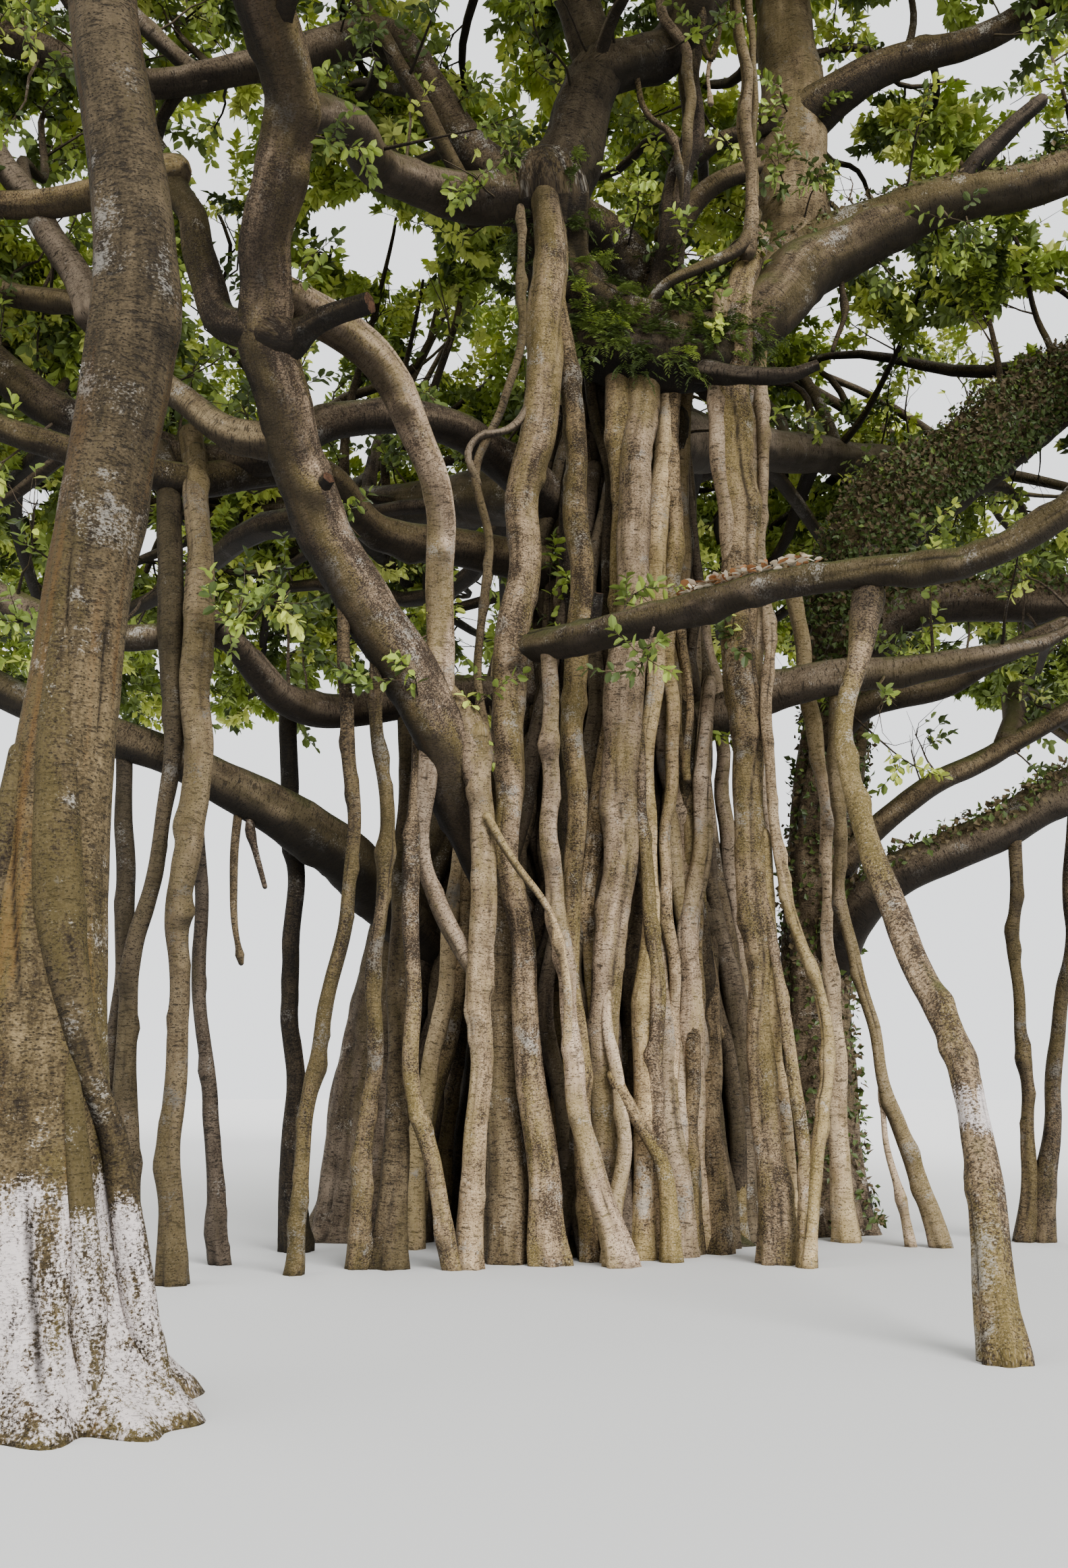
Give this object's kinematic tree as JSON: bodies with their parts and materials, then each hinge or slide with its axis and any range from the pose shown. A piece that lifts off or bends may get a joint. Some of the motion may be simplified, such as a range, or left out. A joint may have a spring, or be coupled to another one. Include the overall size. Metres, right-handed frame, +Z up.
{
  "type": "banyan tree",
  "caption": "Whole banyan tree: a core trunk sheathed in pillar roots, spreading boughs propped by outlying pillars, and a wide domed crown of separate leaf masses.",
  "frame": {"origin": "middle of the core trunk's flat cut at ground level", "axes": "+Z up, +X to the right of the picture's view, +Y away from it"},
  "size_m": [27.9353, 27.4537, 20.3575],
  "materials": {
    "bark": "warm grey-brown smooth bark with pits, cracks and pale lichen",
    "shaded_bark": "dark brown bark of the inner roots and undersides",
    "mossy_bark": "brown bark with olive moss along the top",
    "foliage": "masses of glossy mid-green oval leaves on thin twigs"
  },
  "bodies": {
    "root": {"bough_arched": "shaded_bark", "bough_arched_outer": "shaded_bark", "bough_back_left": "shaded_bark", "bough_back_right": "shaded_bark", "bough_front_cut": "mossy_bark", "bough_ivy": "mossy_bark", "bough_left_arch": "bark", "bough_left_long": "shaded_bark", "bough_left_lower": "shaded_bark", "bough_left_lowest": "mossy_bark", "bough_left_main": "bark", "bough_left_upper": "bark", "bough_right_high": "mossy_bark", "bough_right_low": "shaded_bark", "bough_right_lowest": "shaded_bark", "bough_right_mid": "shaded_bark", "bough_right_upper": "shaded_bark", "bough_saddle": "shaded_bark", "bough_upper_left": "mossy_bark", "mass_back": "foliage", "mass_back_left": "foliage", "mass_back_right": "foliage", "mass_front": "foliage", "mass_front_left": "foliage", "mass_front_right": "foliage", "mass_left": "foliage", "mass_right": "foliage", "mass_top": "foliage", "mass_upper_back": "foliage", "mass_upper_front": "foliage", "mass_upper_left": "foliage", "mass_upper_right": "foliage", "pillar_arch": "bark", "pillar_back_left": "shaded_bark", "pillar_back_right": "shaded_bark", "pillar_far_left": "shaded_bark", "pillar_far_left_stout": "bark", "pillar_far_right": "bark", "pillar_front": "bark", "pillar_front_branch": "bark", "pillar_front_crossing": "bark", "pillar_left_front": "bark", "pillar_left_rear": "shaded_bark", "pillar_left_slanting": "bark", "pillar_left_thin": "bark", "pillar_middle": "bark", "pillar_middle_right": "bark", "pillar_right": "bark", "pillar_right_inner": "bark", "pillar_right_thin": "bark", "pillar_right_wandering": "bark", "prop_right_leaning": "bark", "stem_fork": "shaded_bark", "stem_fork_left": "shaded_bark", "stem_fork_right": "shaded_bark", "stem_right": "bark", "trunk_core": "shaded_bark", "trunk_outlying": "bark", "trunk_rear_left": "shaded_bark", "trunk_rear_right": "shaded_bark"}
  },
  "joints": []
}
